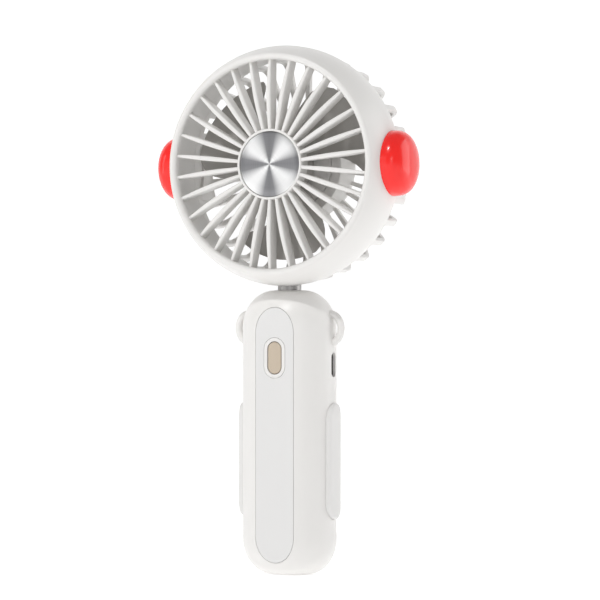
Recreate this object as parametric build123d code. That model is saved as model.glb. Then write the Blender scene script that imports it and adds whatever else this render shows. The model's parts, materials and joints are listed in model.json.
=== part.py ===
from build123d import *
import os
from math import cos, pi, radians, sin

# Handheld electric fan, millimetres.
# Origin: centre of the flat under the handle. +Z up, the fan blows towards -Y, +X is its right side.

# ---------------------------------------------------------------- driving dimensions
HEAD_Z = 154.5           # height of the fan axis
DRUM_R = 45.4            # widest radius of the head
HANDLE_H = 107.5         # handle height
HANDLE_A = 18.45         # half width of the handle
HANDLE_B = 14.65         # half depth of the handle, before the front is cut flat
FRONT_FLAT = 13.27       # distance of the flat front from the handle's axis
WALL = 1.8               # shell walls
GAP = 0.15               # gap around inset covers
RIBS = 30                # ribs in each grille

TOP_FLAT, TOP_ROUND = 5.7, 14.0      # radius of the flat top, height of the dome
BASE_FLAT, BASE_ROUND = 7.3, 13.5    # the same at the base
BASE_CUT = 0.03          # taken off the base to leave a true plane

PANEL_HALF, PANEL_LOW, PANEL_HIGH, PANEL_END = 7.78, 5.2, 101.0, 9.6
PANEL_T = 1.4
COVER_HALF, COVER_LOW, COVER_HIGH, COVER_END = 12.5, 9.0, 97.0, 15.0
FRONT_WALL_IN = FRONT_FLAT - PANEL_T - 0.1 - 1.3     # inside face of the front wall

BUTTON_Z = 82.1
BUTTON_W, BUTTON_H = 5.4, 11.9
BEZEL_W, BEZEL_H = 8.7, 15.2
FLANGE_W, FLANGE_H = 7.2, 13.7

USB_Z = 79.4
USB_W, USB_T, USB_LENGTH = 8.94, 3.26, 7.3
SOCKET_MOUTH = 17.3

LOOP_Z, LOOP_X = 93.1, 16.9
LOOP_REACH, LOOP_HALF, LOOP_R = 4.55, 5.5, 1.4

PAD_LOW, PAD_HIGH, PAD_HALF, PAD_END = 21.2, 65.0, 4.9, 6.0
PAD_OUT, PAD_IN = 1.7, 0.6

STEM_R, STEM_BORE = 4.5, 2.4
STEM_LOW = 93.5
STEM_RUN = 0.05          # running clearance in the bush
BUSH_R, BUSH_LOW, BUSH_HIGH = 6.5, 97.2, 105.6
SLOT_Z = 99.6            # top of the stop slot in the bush
SWIVEL_STOP = 104        # half angle of the stop slot

BATTERY_R, BATTERY_LOW, BATTERY_LENGTH = 9.1, 5.2, 65.0
BOARD_FRONT, BOARD_T = -2.7, 1.0
BOARD_LOW, BOARD_HIGH, BOARD_HALF = 71.6, 91.8, 12.3
BOSS_X, BOSS_Z, BOSS_R = 8.6, 87.6, 2.1
BOSS_END = 6.0

# head, along the fan axis (y) and away from it (r)
HUB_FRONT = -18.1
HUB_R, HUB_DISC_R = 13.2, 12.2
DRUM_REAR = 3.2
NECK_PAD_Z = 112.85      # flat inside the drum where the stem's flange sits
FLANGE_R, FLANGE_T = 8.2, 1.5
NECK_SCREW_X = 6.35
CROWN_R, CROWN_FRONT, CROWN_REAR = 43.7, 3.4, 18.6
REAR_HUB_R, REAR_HUB_FRONT = 19.35, 8.2
MOTOR_BASE_R, MOTOR_BASE_FRONT = 15.1, 5.0
REAR_RING_FRONT = 4.7    # front of the flange round the motor base
BLADE_TIP, BLADE_ROOT = 35.5, 8.05
ROTOR_R = 7.9            # outside of the motor's turning cup
LEAD_Z = -6.2            # where the motor's lead leaves the board
BLADE_FRONT, BLADE_REAR = -6.3, 3.3
BLADE_T = 1.3
EAR_Y, EAR_R, EAR_H, EAR_X = -2.5, 12.2, 7.4, 44.8
EAR_BULGE = 2.5          # 2 would be a plain ellipse, more is squarer
EAR_SEAT, EAR_BOSS_R = 43.0, 13.0    # floor of the ear's recess, radius of the thickened wall
BUTTON_ROUND, BEZEL_PROUD, EDGE_ROUND = 0.35, 0.15, 0.25
NECK_BOSS_R, NECK_BOSS_Z = 9.4, 110.4
SHAFT_R = 1.0

os.makedirs("parts", exist_ok=True)


def save(shape, node):
    export_step(shape, f"parts/{node}.step")


def group(solids):
    return Compound(children=list(solids))


# ---------------------------------------------------------------- small helpers
def turned(profile):
    """Solid of revolution about the fan axis from a face drawn as x = radius, y = depth."""
    return revolve(profile, Axis.Y, 360)


def around(shape, count, first=0.0):
    """Copies of a shape, evenly spaced about the fan axis and joined."""
    return Part() + [Rot(0, first + i * 360 / count, 0) * shape for i in range(count)]


def to_head(shape):
    return Pos(0, 0, HEAD_Z) * shape


def ring_y(outer, inner, front, rear):
    """Tube about the fan axis, from y = front to y = rear."""
    face = Circle(outer) - Circle(inner) if inner else Circle(outer)
    return extrude(Plane.XZ.offset(-front) * face, -(rear - front))


def rod_y(radius, front, rear, x=0.0, z=0.0):
    return Pos(x, 0, z) * ring_y(radius, 0, front, rear)


def tube_z(outer, inner, low, high, x=0.0, y=0.0):
    face = Circle(outer) - Circle(inner) if inner else Circle(outer)
    return extrude(Plane.XY.offset(low) * Pos(x, y) * face, high - low)


def stadium(half, low, high, end):
    """Upright outline in (x, z): straight sides with half-ellipse ends of height end."""
    with BuildSketch(Plane.XZ) as outline:
        with BuildLine():
            Line((half, low + end), (half, high - end))
            EllipticalCenterArc((0, high - end), half, end, 0, arc_size=180)
            Line((-half, high - end), (-half, low + end))
            EllipticalCenterArc((0, low + end), half, end, 180, arc_size=180)
        make_face()
    return outline.sketch


def slot_prism(width, height, y_front, y_rear, z):
    """Capsule shaped prism along y, centred on x = 0."""
    outline = Plane.XZ.offset(-y_front) * Pos(0, z) * Rot(0, 0, 90) * SlotOverall(height, width)
    return extrude(outline, -(y_rear - y_front))


def pill(a, b, low, high, flat_low, flat_high, round_low, round_high):
    """Upright elliptical body with flat, softly rounded ends."""
    with BuildSketch() as profile:
        with BuildLine():
            Line((0, low), (flat_low, low))
            EllipticalCenterArc((flat_low, low + round_low), a - flat_low, round_low, 270, arc_size=90)
            Line((a, low + round_low), (a, high - round_high))
            EllipticalCenterArc((flat_high, high - round_high), a - flat_high, round_high, 0, arc_size=90)
            Line((flat_high, high), (0, high))
            Line((0, high), (0, low))
        make_face()
    body = revolve(Plane.XZ * profile.sketch, Axis.Z, 360)
    return scale(body, by=(1, b / a, 1))


def front_cut(depth):
    """Everything in front of y = -depth."""
    return Pos(0, -depth - 20, HANDLE_H / 2) * Box(60, 40, HANDLE_H + 20)


def outer_pill():
    body = pill(HANDLE_A, HANDLE_B, -BASE_CUT, HANDLE_H, BASE_FLAT, TOP_FLAT, BASE_ROUND, TOP_ROUND)
    return body - Pos(0, 0, -5) * Box(60, 60, 10)


def inner_pill():
    return pill(HANDLE_A - WALL, HANDLE_B - WALL, 2.2, HANDLE_H - 2.0, BASE_FLAT - 0.7, TOP_FLAT - 0.7,
                BASE_ROUND - 1.3, TOP_ROUND - 1.5)


def prism(outline, y_front, y_rear):
    """Extrude an outline drawn in (x, z) from y_front to y_rear."""
    return extrude(Pos(0, y_front, 0) * outline, -(y_rear - y_front))


# ---------------------------------------------------------------- handle
def lanyard_loop(side):
    path = Plane.XZ * EllipticalCenterArc((LOOP_X, LOOP_Z), LOOP_REACH, LOOP_HALF, -90, arc_size=180)
    profile = Plane(origin=path @ 0, z_dir=path % 0) * Circle(LOOP_R)
    loop = sweep(profile, path)
    return loop if side > 0 else mirror(loop, Plane.YZ)


def pad_outline(grow=0.0):
    return stadium(PAD_HALF + grow, PAD_LOW - grow, PAD_HIGH + grow, PAD_END)


def pad_prism(side, grow=0.0):
    """The pad's outline carried along x through one side of the handle."""
    block = extrude(pad_outline(grow), -30)
    return Rot(0, 0, -90) * block if side > 0 else Rot(0, 0, 90) * block


def side_tube(grow):
    """Straight elliptical tube body, bigger than the handle's section by grow."""
    return extrude(Ellipse(HANDLE_A + grow, HANDLE_B + grow), HANDLE_H)


def grip_pad(side):
    pad = (pad_prism(side) & side_tube(PAD_OUT)) - side_tube(0.03 - PAD_IN)
    outer_edges = pad.faces().sort_by(lambda f: side * f.center().X)[-1].edges()
    return fillet(outer_edges, 1.3)


def make_handle_shell(body, cavity):
    shell = body - cavity
    collar = tube_z(BUSH_R + 2.0, 0, 98.6, HANDLE_H - 1.0) & body
    bosses = [rod_y(BOSS_R, -FRONT_WALL_IN - 0.5, BOSS_END, side * BOSS_X, BOSS_Z) for side in (-1, 1)]
    shell = shell + collar + bosses + [lanyard_loop(side) for side in (-1, 1)]
    # seats for the panel, the bezel and the pads
    shell -= prism(stadium(PANEL_HALF + GAP, PANEL_LOW - GAP, PANEL_HIGH + GAP, PANEL_END), -20,
                   -FRONT_FLAT + PANEL_T + 0.1)
    shell -= slot_prism(FLANGE_W + 0.9, FLANGE_H + 0.9, -20, -5, BUTTON_Z)
    for side in (-1, 1):
        shell -= pad_prism(side, 0.1) - side_tube(-PAD_IN)
        shell -= rod_y(0.97, 0.5, BOSS_END + 1, side * BOSS_X, BOSS_Z)
    # back hatch, bush seat, stem hole and charging slot
    shell -= prism(stadium(COVER_HALF + GAP, COVER_LOW - GAP, COVER_HIGH + GAP, COVER_END), 7.0, 20)
    shell -= tube_z(BUSH_R, 0, 90, BUSH_HIGH)
    shell -= tube_z(STEM_R + 0.35, 0, 90, HANDLE_H + 1)
    slot = Rot(0, 0, 90) * SlotOverall(USB_W + 0.4, USB_T + 0.4)
    shell -= extrude(Plane.YZ.offset(HANDLE_A - 6) * Pos(0, USB_Z) * slot, 10)
    return shell


def make_front_panel(body):
    panel = prism(stadium(PANEL_HALF, PANEL_LOW, PANEL_HIGH, PANEL_END), -20, -FRONT_FLAT + PANEL_T) & body
    panel -= slot_prism(BEZEL_W + 0.2, BEZEL_H + 0.2, -20, -5, BUTTON_Z)
    return panel


def make_button_bezel():
    ring = slot_prism(BEZEL_W, BEZEL_H, -FRONT_FLAT - BEZEL_PROUD, -FRONT_FLAT + PANEL_T, BUTTON_Z)
    ring -= slot_prism(BUTTON_W + 0.5, BUTTON_H + 0.5, -20, -5, BUTTON_Z)
    return fillet(ring.faces().sort_by(Axis.Y)[0].edges(), EDGE_ROUND)


def make_power_button():
    flange_front = -FRONT_FLAT + PANEL_T + 0.45
    cap = slot_prism(BUTTON_W, BUTTON_H, -FRONT_FLAT - 0.05, flange_front, BUTTON_Z)
    cap = fillet(cap.faces().sort_by(Axis.Y)[0].edges(), BUTTON_ROUND)
    flange = slot_prism(FLANGE_W, FLANGE_H, flange_front, flange_front + 0.8, BUTTON_Z)
    post = rod_y(1.2, flange_front + 0.8, BOARD_FRONT - 4.2, 0, BUTTON_Z)
    return cap + flange + post


def make_rear_cover(body, cavity):
    cover = prism(stadium(COVER_HALF, COVER_LOW, COVER_HIGH, COVER_END), 7.0, 20) & body
    cover -= cavity
    for side in (-1, 1):
        cover += rod_y(2.6, BOSS_END + 0.1, 12.2, side * BOSS_X, BOSS_Z)
    for side in (-1, 1):
        cover -= rod_y(1.1, 0, 20, side * BOSS_X, BOSS_Z)
        cover -= rod_y(2.1, 10.4, 20, side * BOSS_X, BOSS_Z)
    return cover


def pan_screw(head_r, head_h, shank_r, length, recess):
    """Screw along +z: head's underside at z = 0, shank below, cross recess in the top."""
    head = Pos(0, 0, head_h / 2) * Cylinder(head_r, head_h)
    head = fillet(head.faces().sort_by(Axis.Z)[-1].edges(), head_h * 0.45)
    shank = Pos(0, 0, -length / 2) * Cylinder(shank_r, length)
    cross = Box(recess * 2, recess * 0.5, head_h) + Box(recess * 0.5, recess * 2, head_h)
    return head + shank - Pos(0, 0, head_h) * cross


def make_cover_screws():
    screw = Rot(-90, 0, 0) * pan_screw(1.9, 1.2, 0.95, 9.0, 1.0)
    return group(Pos(side * BOSS_X, 10.4, BOSS_Z) * screw for side in (-1, 1))


def make_usb_socket():
    rear = SOCKET_MOUTH - USB_LENGTH
    outer = Pos(0, USB_Z) * Rot(0, 0, 90) * SlotOverall(USB_W, USB_T)
    inner = Pos(0, USB_Z) * Rot(0, 0, 90) * SlotOverall(USB_W - 0.6, USB_T - 0.6)
    shell = extrude(Plane.YZ.offset(rear) * outer, USB_LENGTH)
    shell -= extrude(Plane.YZ.offset(rear + 1.0) * inner, USB_LENGTH)
    tongue = Pos(SOCKET_MOUTH - USB_LENGTH / 2 - 0.4, 0, USB_Z) * Box(USB_LENGTH - 1.2, 0.7, 6.7)
    return shell + tongue


def make_circuit_board():
    middle = Pos(0, BOARD_FRONT + BOARD_T / 2, (BOARD_LOW + BOARD_HIGH) / 2)
    board = middle * Box(2 * BOARD_HALF, BOARD_T, BOARD_HIGH - BOARD_LOW)
    # cut-outs for the two bosses and for the socket let into the board's right edge
    for side in (-1, 1):
        board -= rod_y(BOSS_R + 0.2, -10, 10, side * BOSS_X, BOSS_Z)
    return board - Pos(BOARD_HALF, 0, USB_Z) * Box(5.2, 10, USB_W + 0.3)


def make_board_chips():
    rear = BOARD_FRONT + BOARD_T
    places = [(-6.0, 78.2, 5.0, 5.0, 0.9), (-1.0, 76.0, 4.0, 4.0, 1.8), (4.2, 75.0, 2.0, 1.2, 0.8),
              (4.2, 78.0, 2.0, 1.2, 0.8), (-7.5, 82.5, 2.6, 1.6, 1.0), (1.0, 82.0, 3.0, 1.6, 1.0)]
    return group(Pos(x, rear + t / 2, z) * Box(w, t, h) for x, z, w, h, t in places)


def make_switch_body():
    body = Pos(0, BOARD_FRONT - 1.7, BUTTON_Z) * Box(6.0, 3.4, 6.0)
    return body - rod_y(1.8, -20, BOARD_FRONT - 0.8, 0, BUTTON_Z)


def make_switch_plunger():
    return rod_y(1.7, BOARD_FRONT - 4.2, BOARD_FRONT - 1.5, 0, BUTTON_Z)


def make_battery_cell():
    cell = tube_z(BATTERY_R, 0, BATTERY_LOW, BATTERY_LOW + BATTERY_LENGTH, 0, 0.3)
    return fillet(cell.edges(), 0.6)


def make_battery_tabs():
    top = BATTERY_LOW + BATTERY_LENGTH
    low_tab = Pos(0, 0.3, BATTERY_LOW - 0.12) * Box(7.0, 5.0, 0.2)
    high_tab = Pos(0, 0.3, top + 0.12) * Box(7.0, 5.0, 0.2)
    return group([low_tab, high_tab])


def wire(points, bend, radius):
    """Insulated lead along straight runs joined by tangent arcs."""
    path = FilletPolyline(*points, radius=bend)
    section = Plane(origin=path @ 0, z_dir=path % 0) * Circle(radius)
    return sweep(section, path)


def make_battery_leads():
    """One lead from each end of the cell up to the board, in the space beside the cell."""
    beside, below, above = 10.5, BATTERY_LOW - 0.75, BATTERY_LOW + BATTERY_LENGTH + 0.75
    low_run = [(3.0, 0.3, below), (beside, 0.3, below), (beside, 0.3, above + 0.6), (8.6, -1.1, 74.6)]
    low = wire(low_run, 0.9, 0.5)
    high = wire([(-3.0, 0.3, above), (-6.5, 0.6, above + 0.5), (-8.6, -1.1, 74.6)], 0.9, 0.5)
    return group([low, high])


# ---------------------------------------------------------------- neck
def wedge(half_angle, radius, low, high):
    """Sector about z, centred on -y."""
    with BuildSketch(Plane.XY.offset(low)) as sector:
        with BuildLine():
            start, end = -90 - half_angle, -90 + half_angle
            arc = CenterArc((0, 0), radius, start, 2 * half_angle)
            Line(arc @ 1, (0, 0))
            Line((0, 0), arc @ 0)
        make_face()
    return extrude(sector.sketch, high - low)


def make_neck_bush():
    bush = tube_z(BUSH_R - 0.02, STEM_R + STEM_RUN, BUSH_LOW, BUSH_HIGH - 0.05)
    stop = wedge(180 - SWIVEL_STOP, BUSH_R + 2, BUSH_LOW - 2, SLOT_Z + 1).rotate(Axis.Z, 180)
    slot = tube_z(BUSH_R + 1, 0, BUSH_LOW - 1, SLOT_Z) - stop
    slot &= tube_z(BUSH_R - 0.75, 0, BUSH_LOW - 1, SLOT_Z)
    return bush - slot


def make_neck_stem():
    flange_low = NECK_PAD_Z
    stem = tube_z(STEM_R, 0, STEM_LOW, flange_low + FLANGE_T)
    stem += tube_z(FLANGE_R, 0, flange_low, flange_low + FLANGE_T)
    stem -= tube_z(STEM_BORE, 0, 0, 200)
    stem -= tube_z(STEM_R + 1, 3.7, 95.0, 95.8)
    stem -= rod_y(0.8, -10, 0, 0, 98.4)
    for side in (-1, 1):
        stem -= tube_z(0.9, 0, flange_low - 1, 200, side * NECK_SCREW_X)
    return stem


def make_stop_pin():
    return rod_y(0.8, -5.5, -STEM_BORE, 0, 98.4)


def make_stem_clip():
    ring = tube_z(6.1, 3.72, 95.05, 95.75)
    return ring - Pos(0, 6, 95.4) * Box(4.0, 8, 3)


def make_friction_washer():
    return tube_z(6.1, STEM_R + 0.06, 95.85, BUSH_LOW - 0.05)


def make_neck_screws():
    screw = pan_screw(1.35, 0.9, 0.78, 2.6, 0.7)
    return group(Pos(side * NECK_SCREW_X, 0, NECK_PAD_Z + FLANGE_T) * screw for side in (-1, 1))


# ---------------------------------------------------------------- head, front
def drum_profile():
    with BuildSketch() as profile:
        with BuildLine():
            ThreePointArc((39.1, -17.2), (40.6, -18.2), (41.9, -17.2))
            ThreePointArc((41.9, -17.2), (DRUM_R, -5.2), (44.2, DRUM_REAR))
            Line((44.2, DRUM_REAR), (42.4, DRUM_REAR))
            Line((42.4, DRUM_REAR), (42.4, 0.8))
            Line((42.4, 0.8), (41.3, 0.8))
            ThreePointArc((41.3, 0.8), (41.5, -6.0), (40.9, -14.2))
            Line((40.9, -14.2), (39.1, -16.0))
            Line((39.1, -16.0), (39.1, -17.2))
        make_face()
    return profile.sketch


def drum_envelope():
    """Outside of the drum as a full disc, carried on over the crown."""
    with BuildSketch() as profile:
        with BuildLine():
            Line((0, -17.2), (41.9, -17.2))
            ThreePointArc((41.9, -17.2), (DRUM_R, -5.2), (44.2, DRUM_REAR))
            Line((44.2, DRUM_REAR), (CROWN_R + 0.2, 12.5))
            Line((CROWN_R + 0.2, 12.5), (0, 12.5))
            Line((0, 12.5), (0, -17.2))
        make_face()
    return profile.sketch


def ear_rod(side, start, radius):
    """Cylinder along x at an ear, from x = start outwards."""
    return extrude(Plane.YZ.offset(side * start) * Pos(EAR_Y, 0) * Circle(radius), side * 12)


def lens_rib():
    """Outline of one front rib in (x, z), pointing up: narrow at both ends, widest in the middle."""
    with BuildSketch(Plane.XZ) as outline:
        with BuildLine():
            ThreePointArc((0.62, 12.4), (0.97, 27.0), (0.5, 41.6))
            Line((0.5, 41.6), (-0.5, 41.6))
            ThreePointArc((-0.5, 41.6), (-0.97, 27.0), (-0.62, 12.4))
            Line((-0.62, 12.4), (0.62, 12.4))
        make_face()
    return outline.sketch


def front_rib_zone():
    """Region that the front ribs fill, as a profile of radius and depth: it bulges forward midway."""
    with BuildSketch() as profile:
        with BuildLine():
            ThreePointArc((12.4, -17.9), (26.0, -19.1), (40.0, -17.2))
            Line((40.0, -17.2), (41.6, -13.0))
            Line((41.6, -13.0), (41.4, -11.6))
            ThreePointArc((41.4, -11.6), (26.0, -13.0), (12.4, -12.1))
            Line((12.4, -12.1), (12.4, -17.9))
        make_face()
    return profile.sketch


def make_front_grille():
    drum = turned(drum_profile())
    rib = extrude(Pos(0, -22, 0) * lens_rib(), -14)
    ribs = turned(front_rib_zone()) & around(rib, RIBS)
    hub = ring_y(HUB_R, HUB_DISC_R + 0.1, HUB_FRONT, -12.0) + ring_y(HUB_R, 0, -16.7, -15.3)
    hub = fillet(hub.faces().sort_by(Axis.Y)[0].edges().sort_by(SortBy.RADIUS)[-1], 0.4)
    grille = drum + ribs + hub
    envelope = turned(drum_envelope())
    for side in (-1, 1):
        grille += ear_rod(side, EAR_SEAT - 0.7, EAR_BOSS_R) & envelope
    for side in (-1, 1):
        grille -= ear_rod(side, EAR_SEAT, EAR_R + 0.1)
        grille -= ear_rod(side, EAR_SEAT - 1.0, 3.05)
    # flat seat for the stem's flange, and holes for the stem and its two screws
    grille += tube_z(NECK_BOSS_R, 0, NECK_BOSS_Z - HEAD_Z, NECK_PAD_Z - HEAD_Z)
    grille -= tube_z(FLANGE_R + 0.2, 0, NECK_PAD_Z - HEAD_Z, NECK_PAD_Z - HEAD_Z + 5)
    grille -= tube_z(STEM_R + 0.03, 0, -60, NECK_PAD_Z - HEAD_Z + 1)
    for side in (-1, 1):
        grille -= tube_z(0.8, 0, NECK_PAD_Z - HEAD_Z - 2.3, NECK_PAD_Z - HEAD_Z + 1, side * NECK_SCREW_X)
    return to_head(grille)


def make_hub_disc():
    return to_head(ring_y(HUB_DISC_R, 0, -17.7, -16.72))


def make_ear_cap(side):
    base = EAR_X + 0.02
    power = 2 / EAR_BULGE
    turns = [radians(t) for t in (78, 62, 45, 28, 12)]
    edge = [(base + EAR_H * sin(t) ** power, EAR_R * cos(t) ** power) for t in turns]
    with BuildSketch() as profile:
        with BuildLine():
            Line((base, 0), (base + EAR_H, 0))
            Spline((base + EAR_H, 0), *edge, (base, EAR_R), tangents=((0, 1), (-1, 0)))
            Line((base, EAR_R), (base, 0))
        make_face()
    dome = revolve(profile.sketch, Axis.X, 360)
    skirt = extrude(Plane.YZ.offset(EAR_SEAT + 0.02) * Circle(EAR_R), base - EAR_SEAT)
    stud = extrude(Plane.YZ.offset(EAR_SEAT - 0.9) * Circle(3.0), 1.5)
    cap = Pos(0, EAR_Y, 0) * (dome + skirt + stud)
    return to_head(cap if side > 0 else mirror(cap, Plane.YZ))


# ---------------------------------------------------------------- head, back
def crown_profile():
    """Contour of the rear ribs: straight back from the drum, round the corner and in to the hub."""
    with BuildSketch() as profile:
        with BuildLine():
            Line((CROWN_R, CROWN_FRONT), (CROWN_R, 13.4))
            ThreePointArc((CROWN_R, 13.4), (CROWN_R - 1.5, 17.0), (CROWN_R - 5.2, CROWN_REAR))
            Line((CROWN_R - 5.2, CROWN_REAR), (18.0, CROWN_REAR))
            Line((18.0, CROWN_REAR), (18.0, 15.9))
            Line((18.0, 15.9), (CROWN_R - 5.2, 15.9))
            ThreePointArc((CROWN_R - 5.2, 15.9), (CROWN_R - 2.9, 15.0), (CROWN_R - 2.1, 12.9))
            Line((CROWN_R - 2.1, 12.9), (CROWN_R - 2.1, CROWN_FRONT))
            Line((CROWN_R - 2.1, CROWN_FRONT), (CROWN_R, CROWN_FRONT))
        make_face()
    return profile.sketch


def rear_rib():
    """Outline of one rear rib in (x, z), pointing up, wider towards the rim."""
    return Plane.XZ * Polygon((-0.8, 18.0), (0.8, 18.0), (1.35, 45.0), (-1.35, 45.0), align=None)


def make_rear_grille():
    rib = extrude(Pos(0, -5, 0) * rear_rib(), -40)
    # everything that is solid when seen from behind, cut to the crown's contour:
    # ribs, front ring, and the wall beside each ear and over the neck
    seen = around(rib, RIBS) + ring_y(60, 30, CROWN_FRONT - 5, CROWN_FRONT + 1.3)
    seen += [Pos(side * 42, 9.0, 0) * Box(13, 14, 24.4) for side in (-1, 1)]
    seen += Pos(0, 9.0, -42) * Box(23.0, 14, 13)
    crown = turned(crown_profile()) & seen
    lip = ring_y(42.2, CROWN_R - 2.3, 1.0, CROWN_FRONT + 0.8)
    hub = ring_y(REAR_HUB_R, REAR_HUB_R - 1.8, REAR_RING_FRONT, CROWN_REAR + 0.05)
    hub += ring_y(REAR_HUB_R - 0.5, MOTOR_BASE_R + 0.3, REAR_RING_FRONT, REAR_RING_FRONT + 1.5)
    floor = ring_y(REAR_HUB_R, 0, REAR_HUB_FRONT, REAR_HUB_FRONT + 1.6)
    grille = crown + lip + hub + floor
    # round notches for the bosses of the ears and the neck
    for side in (-1, 1):
        grille -= ear_rod(side, 39.5, EAR_BOSS_R + 0.2)
    grille -= tube_z(NECK_BOSS_R + 0.2, 0, -50, -40.1)
    grille -= ring_y(3.6, 0, 0, 30)
    for i in range(3):
        grille -= Rot(0, 60 + i * 120, 0) * rod_y(1.05, 0, 30, 0, 12.0)
    # way for the motor's lead through the hub's floor and wall, at the bottom
    grille -= rod_y(1.6, 0, 12, 0, LEAD_Z)
    grille -= tube_z(1.2, 0, -25, -15, 0, 13.6)
    return to_head(grille)


def make_rear_cap():
    cap = ring_y(REAR_HUB_R - 1.95, 0, CROWN_REAR - 1.6, CROWN_REAR + 0.1)
    cap = fillet(cap.faces().sort_by(Axis.Y)[-1].edges(), 0.5)
    skirt = ring_y(REAR_HUB_R - 1.95, REAR_HUB_R - 3.1, CROWN_REAR - 3.4, CROWN_REAR - 1.6)
    return to_head(cap + skirt)


def make_motor_base():
    dish = ring_y(MOTOR_BASE_R, 0, MOTOR_BASE_FRONT, REAR_HUB_FRONT - 0.02)
    dish = fillet(dish.faces().sort_by(Axis.Y)[0].edges(), 0.8)
    tower = ring_y(3.3, 0, -7.9, MOTOR_BASE_FRONT + 0.5)
    spigot = ring_y(3.55, 0, REAR_HUB_FRONT - 1, REAR_HUB_FRONT + 1.4)
    base = dish + tower + spigot
    base -= ring_y(2.55, 0, -10, 7.9)
    for i in range(3):
        base -= Rot(0, 60 + i * 120, 0) * rod_y(0.85, 5.9, 10, 0, 12.0)
    base -= rod_y(1.4, 0, 12, 0, LEAD_Z)
    return to_head(base)


def make_motor_screws():
    screw = Rot(-90, 0, 0) * pan_screw(1.7, 1.1, 0.82, 3.6, 0.85)
    seat = REAR_HUB_FRONT + 1.6
    return to_head(group(Rot(0, 60 + i * 120, 0) * Pos(0, seat, 12.0) * screw for i in range(3)))


def make_bearing(front):
    ring = ring_y(2.53, SHAFT_R + 0.03, front, front + 2.3)
    return to_head(fillet(ring.edges().filter_by(GeomType.CIRCLE).sort_by(SortBy.RADIUS)[-2:], 0.15))


def stator_tooth():
    tooth = Pos(0, -3.05, 5.0) * Box(1.2, 5.5, 1.9)
    shoe = ring_y(6.3, 5.72, -5.8, -0.3) & Pos(0, -3.05, 6.0) * Box(3.2, 6, 3)
    return tooth + shoe


def make_stator_core():
    core = ring_y(4.3, 3.33, -5.8, -0.3)
    return to_head(core + [Rot(0, i * 40, 0) * stator_tooth() for i in range(9)])


def make_stator_windings():
    outer = Pos(0, -3.05, 4.97) * Box(2.3, 6.9, 1.15)
    coil = fillet(outer.edges().filter_by(Axis.Z), 0.5) - Pos(0, -3.05, 5.0) * Box(1.24, 5.54, 4)
    return to_head(group(Rot(0, i * 40, 0) * coil for i in range(9)))


def make_motor_board():
    return to_head(ring_y(7.3, 3.4, 4.1, 4.9))


# ---------------------------------------------------------------- rotor
def blade_point(u, v):
    """Point on the blade's middle surface: u from root to tip, v from the front edge to the back edge."""
    r = BLADE_ROOT + (BLADE_TIP - BLADE_ROOT) * u
    front_angle = 62 + 21 * (1 - u)
    rear_angle = 15 - 33 * u ** 2
    # both corners of the tip are rounded off
    corner = 9 * max(0.0, (u - 0.72) / 0.28) ** 3
    front_angle -= corner
    rear_angle += corner
    angle = radians(front_angle + (rear_angle - front_angle) * v)
    y = BLADE_FRONT + (BLADE_REAR - BLADE_FRONT) * (v - 0.10 * sin(pi * v))
    return Vector(r * cos(angle), y, r * sin(angle))


def make_blade():
    rows = [[blade_point(i / 8, j / 8) for j in range(9)] for i in range(9)]
    surface = Face.make_surface_from_array_of_points(rows)
    return thicken(surface, amount=BLADE_T / 2, both=True)


def make_impeller():
    cup = ring_y(ROTOR_R + 0.9, 0, -11.2, 3.4)
    cup = fillet(cup.faces().sort_by(Axis.Y)[0].edges(), 1.4)
    cup -= ring_y(ROTOR_R + 0.02, 0, -10.0, 4)
    blade = make_blade()
    impeller = cup + [Rot(0, i * 120, 0) * blade for i in range(3)]
    return to_head(impeller)


def make_rotor_cup():
    cup = ring_y(ROTOR_R, 0, -9.98, 3.0) - ring_y(ROTOR_R - 0.4, 0, -9.4, 4)
    cup += ring_y(2.2, 0, -9.5, -8.4)
    return to_head(cup - ring_y(SHAFT_R, 0, -20, 0))


def make_magnet_ring():
    return to_head(ring_y(ROTOR_R - 0.42, ROTOR_R - 1.2, -7.4, 2.4))


def make_motor_shaft():
    shaft = ring_y(SHAFT_R, 0, -9.9, 7.2)
    return to_head(shaft - ring_y(2, 0.75, 5.3, 5.8))


def make_shaft_clip():
    ring = ring_y(1.9, 0.77, 5.32, 5.78)
    return to_head(ring - Pos(0, 5.5, 1.5) * Box(1.0, 3, 2.4))


def make_motor_lead():
    """Flat lead from the motor's board, behind the bottom rib, and down the hollow stem."""
    behind, low, end = 13.6, -39.0, STEM_LOW - HEAD_Z - 0.6
    points = [(0, 5.2, LEAD_Z), (0, behind, LEAD_Z), (0, behind, low), (0, 0, low), (0, 0, end)]
    return to_head(wire(points, 2.0, 0.65))


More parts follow.
